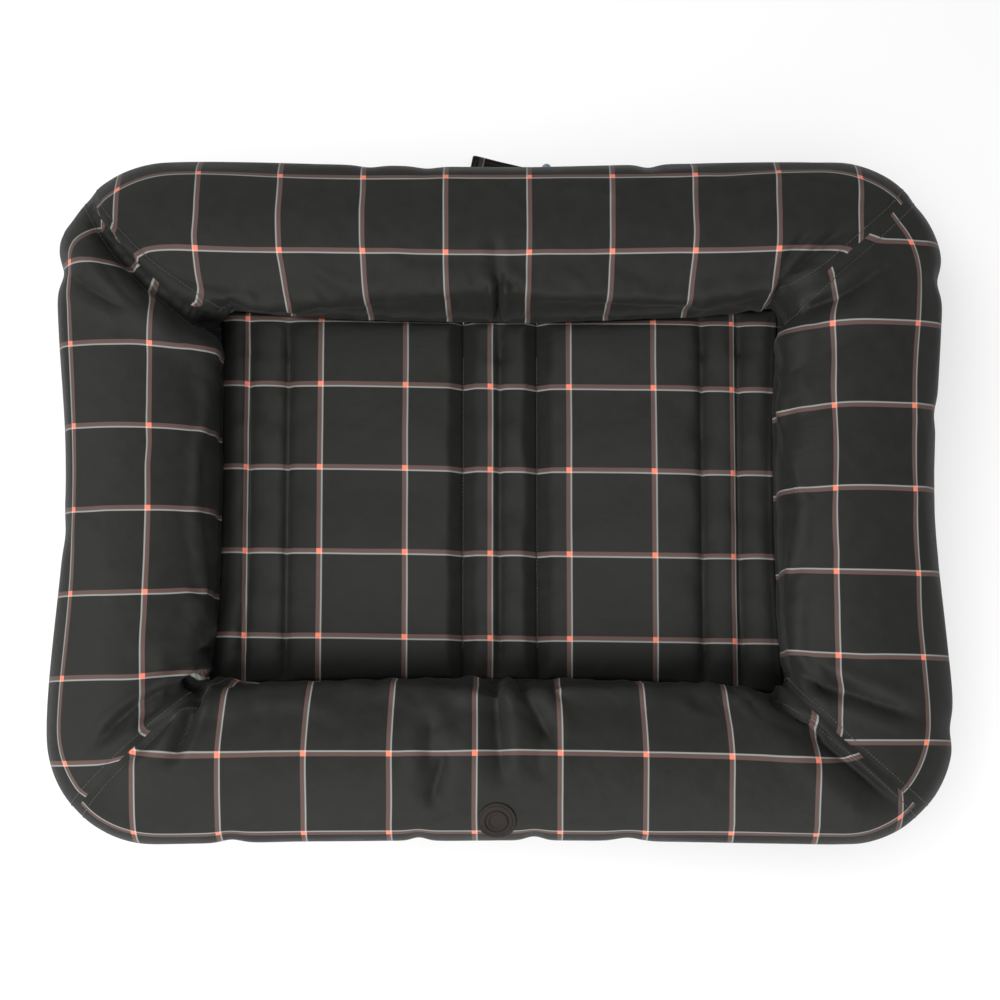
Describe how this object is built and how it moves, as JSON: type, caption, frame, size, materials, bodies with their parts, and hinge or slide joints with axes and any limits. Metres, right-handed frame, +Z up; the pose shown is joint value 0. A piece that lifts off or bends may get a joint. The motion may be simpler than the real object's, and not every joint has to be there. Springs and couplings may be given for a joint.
{
  "type": "pet cushion bed",
  "caption": "Rectangular pet bed with four padded bolsters round a quilted pad, in windowpane plaid, folding in half across the middle, with a closing tab.",
  "frame": {"origin": "centre of the underside, on the surface the bed lies on, midway between the two fold lines and between the front and back bolsters", "axes": "+X along the long side to the right, +Y towards the back edge with the closing tab, +Z up; the badge faces -Y"},
  "size_m": [0.8, 0.63, 0.106],
  "materials": {
    "plaid_fabric": "woven polyester twill, soft sheen, windowpane plaid",
    "base_fabric": "coated woven polyester, matte",
    "filling": "polyester fibre",
    "badge_leather": "pressed leather, satin",
    "stud_metal": "burnished metal"
  },
  "bodies": {
    "left_half": {"base_panel_left": "base_fabric", "pad_cover_left": "plaid_fabric", "wadding_left_main": "filling", "wadding_left_strip": "filling", "wadding_left_edge": "filling", "front_left_bolster_cover": "plaid_fabric", "front_left_bolster_fill": "filling", "back_left_bolster_cover": "plaid_fabric", "back_left_bolster_fill": "filling", "left_side_bolster_cover": "plaid_fabric", "left_side_bolster_fill": "filling"},
    "spine": {"base_panel_spine": "base_fabric", "pad_cover_spine": "plaid_fabric", "wadding_spine_left_strip": "filling", "wadding_spine_right_strip": "filling", "front_centre_bolster_cover": "plaid_fabric", "front_centre_bolster_fill": "filling", "back_centre_bolster_cover": "plaid_fabric", "back_centre_bolster_fill": "filling", "badge": "badge_leather"},
    "right_half": {"base_panel_right": "base_fabric", "pad_cover_right": "plaid_fabric", "wadding_right_main": "filling", "wadding_right_strip": "filling", "wadding_right_edge": "filling", "front_right_bolster_cover": "plaid_fabric", "front_right_bolster_fill": "filling", "back_right_bolster_cover": "plaid_fabric", "back_right_bolster_fill": "filling", "right_side_bolster_cover": "plaid_fabric", "right_side_bolster_fill": "filling", "press_stud": "stud_metal"},
    "tab": {"closing_tab": "plaid_fabric", "press_stud_socket": "stud_metal"}
  },
  "joints": [
    {"name": "fold_left", "type": "hinge", "parent": "left_half", "child": "spine", "pos_m": [-0.034, 0, 0.002], "axis": [0, -1, 0], "range_deg": [0, 85], "deforming": ["front_left_bolster_cover", "front_left_bolster_fill", "back_left_bolster_cover", "back_left_bolster_fill", "left_side_bolster_cover", "left_side_bolster_fill", "front_centre_bolster_cover", "front_centre_bolster_fill", "back_centre_bolster_cover", "back_centre_bolster_fill"]},
    {"name": "fold_right", "type": "hinge", "parent": "spine", "child": "right_half", "pos_m": [0.034, 0, 0.002], "axis": [0, -1, 0], "range_deg": [0, 85], "deforming": ["front_right_bolster_cover", "front_right_bolster_fill", "back_right_bolster_cover", "back_right_bolster_fill", "right_side_bolster_cover", "right_side_bolster_fill"]},
    {"name": "tab_lift", "type": "hinge", "parent": "spine", "child": "tab", "pos_m": [0, 0.276, 0.0009], "axis": [1, 0, 0], "range_deg": [0, 12]}
  ],
  "couplings": [
    {"joint": "fold_right", "follows": "fold_left", "ratio": 1}
  ]
}
